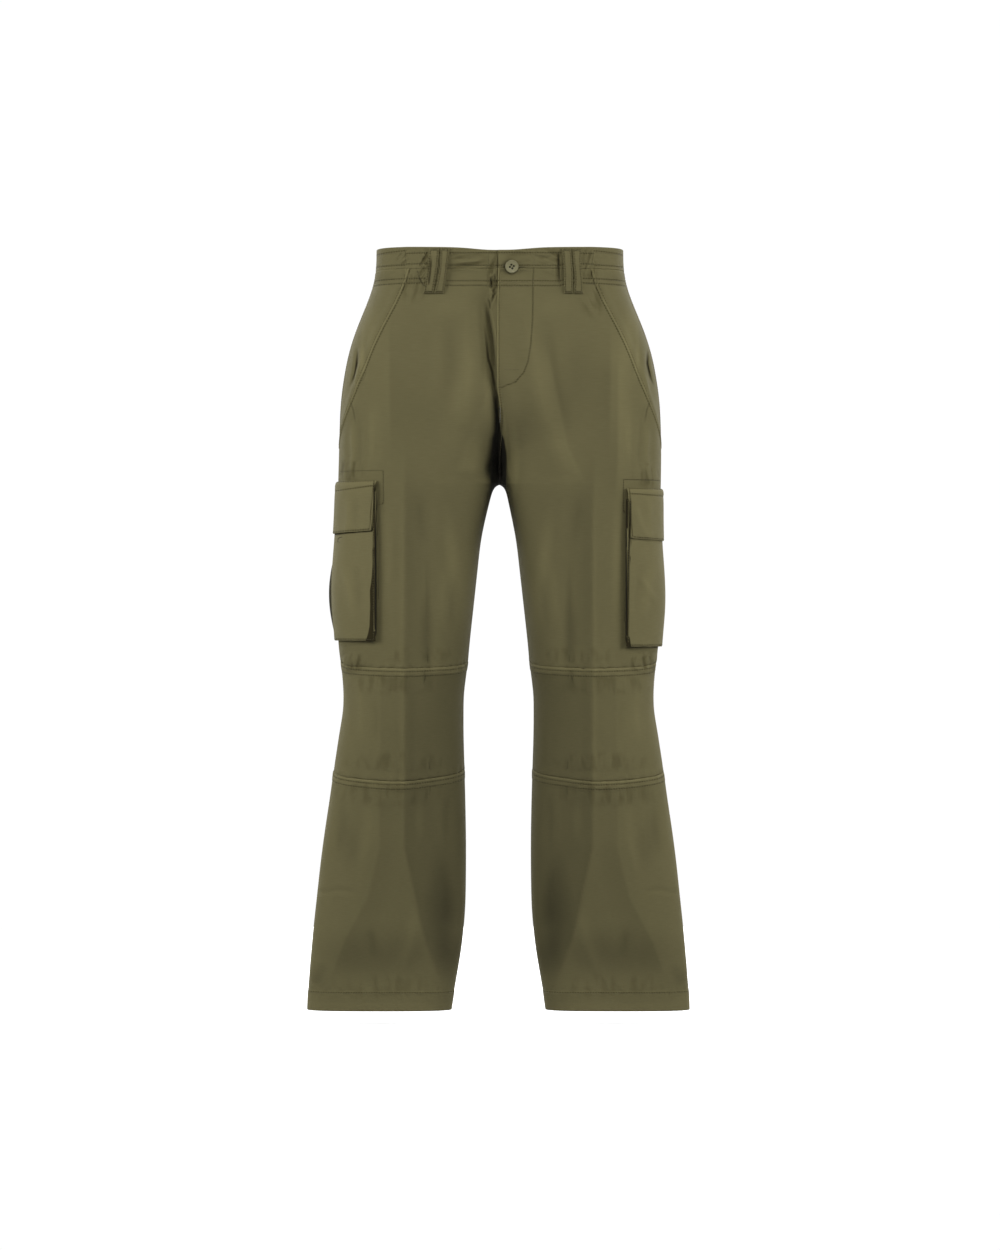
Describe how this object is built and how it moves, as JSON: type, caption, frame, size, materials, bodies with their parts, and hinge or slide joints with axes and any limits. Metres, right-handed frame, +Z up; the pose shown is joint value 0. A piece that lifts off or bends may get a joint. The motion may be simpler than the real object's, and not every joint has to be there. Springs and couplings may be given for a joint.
{
  "type": "cargo pants",
  "caption": "Worn-form cargo trousers with a straight leg, slant pockets, flapped thigh pockets, knee seams, fly front and paired belt loops.",
  "frame": {"origin": "middle of the waistband's height on the centre of the waist, where the wearer's waist holds it", "axes": "+Z up the garment, -Y the front with the fly, +X the wearer's left"},
  "size_m": [0.5292, 0.2459, 1.0521],
  "materials": {
    "twill": "matte olive cotton twill, lightly brushed",
    "button_horn": "satin pale olive button with four holes"
  },
  "bodies": {
    "root": {"band_front_right": "twill", "band_front_left": "twill", "band_back": "twill", "front_right": "twill", "front_left": "twill", "side_right": "twill", "side_left": "twill", "knee_right": "twill", "knee_left": "twill", "shin_right": "twill", "shin_left": "twill", "back_right": "twill", "back_left": "twill", "fly_shield": "twill", "button": "button_horn", "loop_front_right_outer": "twill", "loop_front_right_inner": "twill", "loop_front_left_inner": "twill", "loop_front_left_outer": "twill", "loop_back_right_outer": "twill", "loop_back_right_inner": "twill", "loop_back_left_inner": "twill", "loop_back_left_outer": "twill", "loop_centre_right": "twill", "loop_centre_left": "twill", "pocket_right": "twill", "pocket_left": "twill", "gusset_right": "twill", "gusset_left": "twill", "flap_right": "twill", "flap_left": "twill"}
  },
  "joints": []
}
